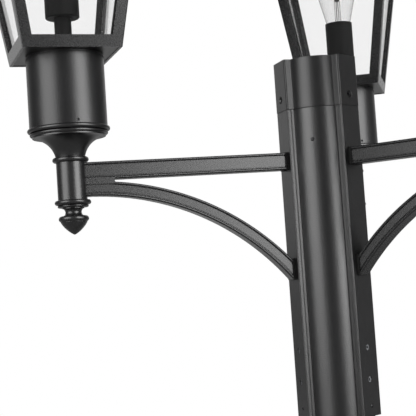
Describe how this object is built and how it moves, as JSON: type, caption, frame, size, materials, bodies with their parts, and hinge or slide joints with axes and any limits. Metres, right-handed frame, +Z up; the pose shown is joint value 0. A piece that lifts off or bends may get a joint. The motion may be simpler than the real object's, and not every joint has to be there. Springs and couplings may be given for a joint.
{
  "type": "outdoor post light",
  "caption": "Tall garden post light: square glazed lanterns on curved cast arms spread evenly round one post, each with a lift-off roof over a clear screw-in bulb.",
  "frame": {"origin": "centre of the foot's underside, on the ground", "axes": "+Z up along the post; the left lantern's arm points along -X, the others 120 degrees round"},
  "size_m": [0.674, 0.7782, 2.2477],
  "materials": {
    "cast_black": "cast and extruded, with a matte black powder coat of a fine sandy texture",
    "satin_black": "turned and extruded, with a satin black powder coat",
    "rubber_seal": "matte black seal",
    "screw_steel": "blackened stainless steel",
    "zinc_steel": "zinc-plated",
    "clear_glass": "clear flat panes",
    "bulb_glass": "clear blown glass",
    "lamp_base": "plain screw base",
    "filament": "yellow phosphor sticks on a glass stem",
    "porcelain": "white glazed porcelain",
    "lead_sheath": "black sheath"
  },
  "bodies": {
    "post": {"base_plate": "cast_black", "base_cover": "cast_black", "pole_screws": "screw_steel", "pole": "satin_black", "pole_coupling": "zinc_steel", "head_post": "cast_black", "head_screws": "screw_steel", "rivets": "satin_black", "cap_insert": "zinc_steel", "post_cap": "cast_black", "cap_screws": "screw_steel", "arm_gaskets": "rubber_seal", "arm_bolts": "screw_steel", "fitter_screws": "screw_steel", "lamp_leads": "lead_sheath", "left_arm": "cast_black", "left_hub": "satin_black", "left_hub_finial": "satin_black", "left_fitter_cup": "satin_black", "left_lantern_frame": "cast_black", "left_glass_panes": "clear_glass", "left_socket_stem": "satin_black", "left_socket_shell": "satin_black", "left_socket_insert": "porcelain", "left_crossbar": "zinc_steel", "right_arm": "cast_black", "right_hub": "satin_black", "right_hub_finial": "satin_black", "right_fitter_cup": "satin_black", "right_lantern_frame": "cast_black", "right_glass_panes": "clear_glass", "right_socket_stem": "satin_black", "right_socket_shell": "satin_black", "right_socket_insert": "porcelain", "right_crossbar": "zinc_steel", "rear_arm": "cast_black", "rear_hub": "satin_black", "rear_hub_finial": "satin_black", "rear_fitter_cup": "satin_black", "rear_lantern_frame": "cast_black", "rear_glass_panes": "clear_glass", "rear_socket_stem": "satin_black", "rear_socket_shell": "satin_black", "rear_socket_insert": "porcelain", "rear_crossbar": "zinc_steel"},
    "left_bulb": {"left_bulb_glass": "bulb_glass", "left_bulb_cap": "lamp_base", "left_bulb_mount": "filament"},
    "left_roof": {"left_roof": "cast_black"},
    "left_finial": {"left_roof_finial": "satin_black"},
    "right_bulb": {"right_bulb_glass": "bulb_glass", "right_bulb_cap": "lamp_base", "right_bulb_mount": "filament"},
    "right_roof": {"right_roof": "cast_black"},
    "right_finial": {"right_roof_finial": "satin_black"},
    "rear_bulb": {"rear_bulb_glass": "bulb_glass", "rear_bulb_cap": "lamp_base", "rear_bulb_mount": "filament"},
    "rear_roof": {"rear_roof": "cast_black"},
    "rear_finial": {"rear_roof_finial": "satin_black"}
  },
  "joints": [
    {"name": "left_roof_lift", "type": "slide", "parent": "post", "child": "left_roof", "axis": [0, 0, 1], "range_m": [0, 0.12]},
    {"name": "left_finial_turn", "type": "hinge", "parent": "left_roof", "child": "left_finial", "pos_m": [-0.28365, 0, 2.2087], "axis": [0, 0, 1], "continuous": true},
    {"name": "left_bulb_turn", "type": "hinge", "parent": "post", "child": "left_bulb", "pos_m": [-0.28365, 0, 1.9297], "axis": [0, 0, 1], "continuous": true},
    {"name": "right_roof_lift", "type": "slide", "parent": "post", "child": "right_roof", "axis": [0, 0, 1], "range_m": [0, 0.12]},
    {"name": "right_finial_turn", "type": "hinge", "parent": "right_roof", "child": "right_finial", "pos_m": [0.14183, -0.24565, 2.2087], "axis": [0, 0, 1], "continuous": true},
    {"name": "right_bulb_turn", "type": "hinge", "parent": "post", "child": "right_bulb", "pos_m": [0.14183, -0.24565, 1.9297], "axis": [0, 0, 1], "continuous": true},
    {"name": "rear_roof_lift", "type": "slide", "parent": "post", "child": "rear_roof", "axis": [0, 0, 1], "range_m": [0, 0.12]},
    {"name": "rear_finial_turn", "type": "hinge", "parent": "rear_roof", "child": "rear_finial", "pos_m": [0.14183, 0.24565, 2.2087], "axis": [0, 0, 1], "continuous": true},
    {"name": "rear_bulb_turn", "type": "hinge", "parent": "post", "child": "rear_bulb", "pos_m": [0.14183, 0.24565, 1.9297], "axis": [0, 0, 1], "continuous": true}
  ]
}
